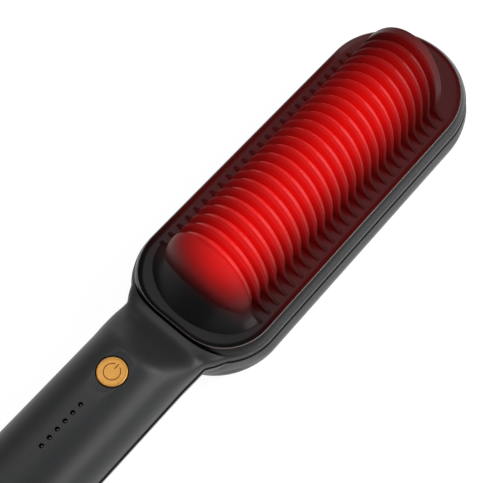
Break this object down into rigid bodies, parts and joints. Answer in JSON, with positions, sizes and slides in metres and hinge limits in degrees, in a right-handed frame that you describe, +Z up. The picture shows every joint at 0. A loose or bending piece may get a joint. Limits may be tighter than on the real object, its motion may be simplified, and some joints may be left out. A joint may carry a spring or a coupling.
{
  "type": "hair straightening brush",
  "caption": "Heated comb brush: an oval handle with a round power button and lights, and a long head whose arched ribs stand over a finned heating plate.",
  "frame": {"origin": "on the floor under the middle of the whole brush, which lies on its flat back", "axes": "+X from the handle's end to the head's tip, +Y to the brush's left, +Z up out of the comb"},
  "size_m": [0.286, 0.0544, 0.052],
  "materials": {
    "shell_plastic": "charcoal moulded plastic with a soft satin finish",
    "comb_plastic": "black heat-resistant plastic, satin, lit red from inside between the ribs",
    "plate_metal": "cast aluminium",
    "gasket": "tan heat-resistant gasket",
    "ceramic": "unglazed white ceramic",
    "mica": "amber mica",
    "spring_steel": "spring steel",
    "screw_steel": "zinc plated steel",
    "dark_screw": "blackened steel",
    "bead_glass": "green sealed bead",
    "wire": "pale sleeved wire",
    "board": "green solder mask",
    "black_plastic": "black moulded plastic",
    "pale_plastic": "natural acetal",
    "button_gold": "satin gold",
    "led": "clear cast",
    "light_guide": "smoked clear plastic",
    "capacitor": "yellow film capacitor box",
    "terminal_plastic": "blue terminal block"
  },
  "bodies": {
    "brush": {"front_shell": "shell_plastic", "rear_shell": "shell_plastic", "comb_cover": "comb_plastic", "heating_plate": "plate_metal", "plate_gasket": "gasket", "ceramic_heater": "ceramic", "mica_sheet": "mica", "heater_clamp": "spring_steel", "clamp_screws": "screw_steel", "plate_screws": "screw_steel", "heat_shield": "plate_metal", "thermal_fuse": "ceramic", "thermistor": "bead_glass", "heater_leads": "wire", "circuit_board": "board", "board_screws": "screw_steel", "tact_switch": "black_plastic", "status_leds": "led", "light_guide": "light_guide", "control_chip": "black_plastic", "triac": "black_plastic", "filter_capacitor": "capacitor", "terminal_block": "terminal_plastic", "shell_screws": "dark_screw", "swivel_collar": "pale_plastic"},
    "button": {"power_button": "button_gold", "switch_plunger": "pale_plastic"},
    "swivel": {"cord_swivel": "black_plastic"}
  },
  "joints": [
    {"name": "button_press", "type": "slide", "parent": "brush", "child": "button", "axis": [0, 0, -1], "range_m": [0, 0.0006], "stiffness_N_per_m": 200},
    {"name": "cord_turn", "type": "hinge", "parent": "brush", "child": "swivel", "pos_m": [-0.1355, 0, 0.019], "axis": [1, 0, 0], "continuous": true}
  ]
}
